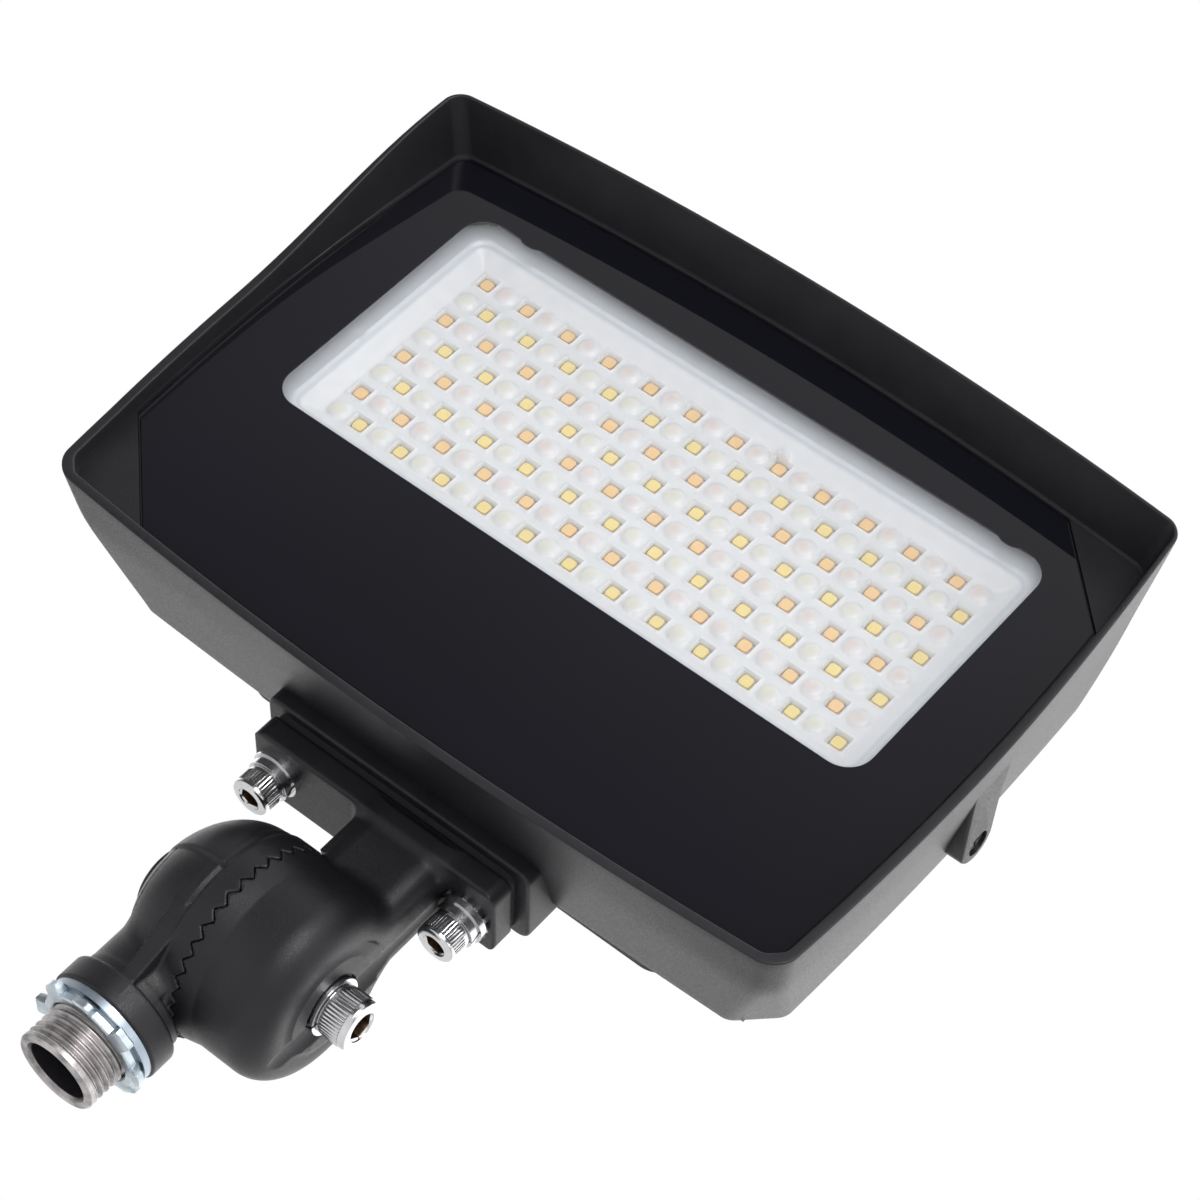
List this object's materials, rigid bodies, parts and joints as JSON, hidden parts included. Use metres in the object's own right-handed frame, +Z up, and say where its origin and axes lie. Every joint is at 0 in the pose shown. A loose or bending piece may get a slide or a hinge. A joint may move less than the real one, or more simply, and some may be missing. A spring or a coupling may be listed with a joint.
{
  "type": "flood light",
  "caption": "LED flood light with a hooded cast housing, windowed black glass and a lens tray, on a toothed tilting knuckle with a half-inch threaded pipe and locknut.",
  "frame": {"origin": "on the pipe's axis at the lower face of the collar, where the thread begins", "axes": "+Z up along the pipe's axis, -Y the way the lens faces at rest, +X to the right seen from the front"},
  "size_m": [0.2184, 0.0826, 0.249],
  "materials": {
    "powder_coat": "fine matte black powder coat",
    "bare_casting": "bare cast thread, cut and slightly stained",
    "stainless": "bright stainless with knurled sides",
    "black_steel": "black oxide screw",
    "zinc_rough": "pressed and zinc plated, bluish",
    "zinc_smooth": "smooth zinc plated washer",
    "front_glass": "tempered glass, black printed round a clear window",
    "black_print": "black print on the back of the glass",
    "clear_optic": "clear acrylic lens sheet with frosted domes",
    "board_white": "white solder mask on an aluminium board",
    "warm_phosphor": "warm white LED, not lit",
    "cool_phosphor": "cool white LED, not lit",
    "driver_case": "drawn aluminium case",
    "seal_rubber": "black silicone",
    "vent_plastic": "black nylon vent",
    "lead_red": "silicone lead",
    "ground_green": "green screw",
    "board_green": "circuit board",
    "switch_black": "switch body",
    "slider_white": "switch slider"
  },
  "bodies": {
    "base": {"knuckle_base": "powder_coat", "pivot_bolt": "stainless", "pivot_spring_washer": "stainless", "knuckle_seal": "seal_rubber"},
    "washer": {"sealing_washer": "zinc_smooth"},
    "nut": {"locknut": "zinc_rough"},
    "head": {"knuckle_arm": "powder_coat", "flange_gasket": "seal_rubber", "flange_bolts": "stainless", "flange_spring_washers": "stainless", "flange_flat_washers": "stainless", "flange_star_washer": "stainless", "housing": "powder_coat", "front_glass": "front_glass", "glass_seal": "seal_rubber", "optic_tray": "clear_optic", "led_board": "board_white", "warm_leds": "warm_phosphor", "cool_leds": "cool_phosphor", "board_screws": "stainless", "driver": "driver_case", "driver_screws": "stainless", "driver_leads": "lead_red", "lead_grommet": "seal_rubber", "rear_cover": "powder_coat", "rear_cover_gasket": "seal_rubber", "rear_cover_screws": "stainless", "side_lug_screws": "black_steel", "vent_plug": "vent_plastic", "ground_screw": "ground_green", "selector_board": "board_green", "selector_switch": "switch_black", "selector_screws": "stainless", "selector_plug": "seal_rubber"},
    "selector": {"tint_slider": "slider_white"}
  },
  "joints": [
    {"name": "tilt", "type": "hinge", "parent": "base", "child": "head", "pos_m": [0.0097, 0, 0.036], "axis": [1, 0, 0], "range_deg": [-90, 90]},
    {"name": "washer_slide", "type": "slide", "parent": "base", "child": "washer", "axis": [0, 0, -1], "range_m": [0, 0.0091]},
    {"name": "nut_turn", "type": "hinge", "parent": "washer", "child": "nut", "pos_m": [0, 0, -0.0036], "axis": [0, 0, -1], "range_deg": [0, 1800]},
    {"name": "tint_slide", "type": "slide", "parent": "head", "child": "selector", "axis": [1, 0, 0], "range_m": [-0.002, 0.002]}
  ],
  "couplings": [
    {"joint": "washer_slide", "follows": "nut_turn", "m_per_rad": 0.00028871}
  ]
}
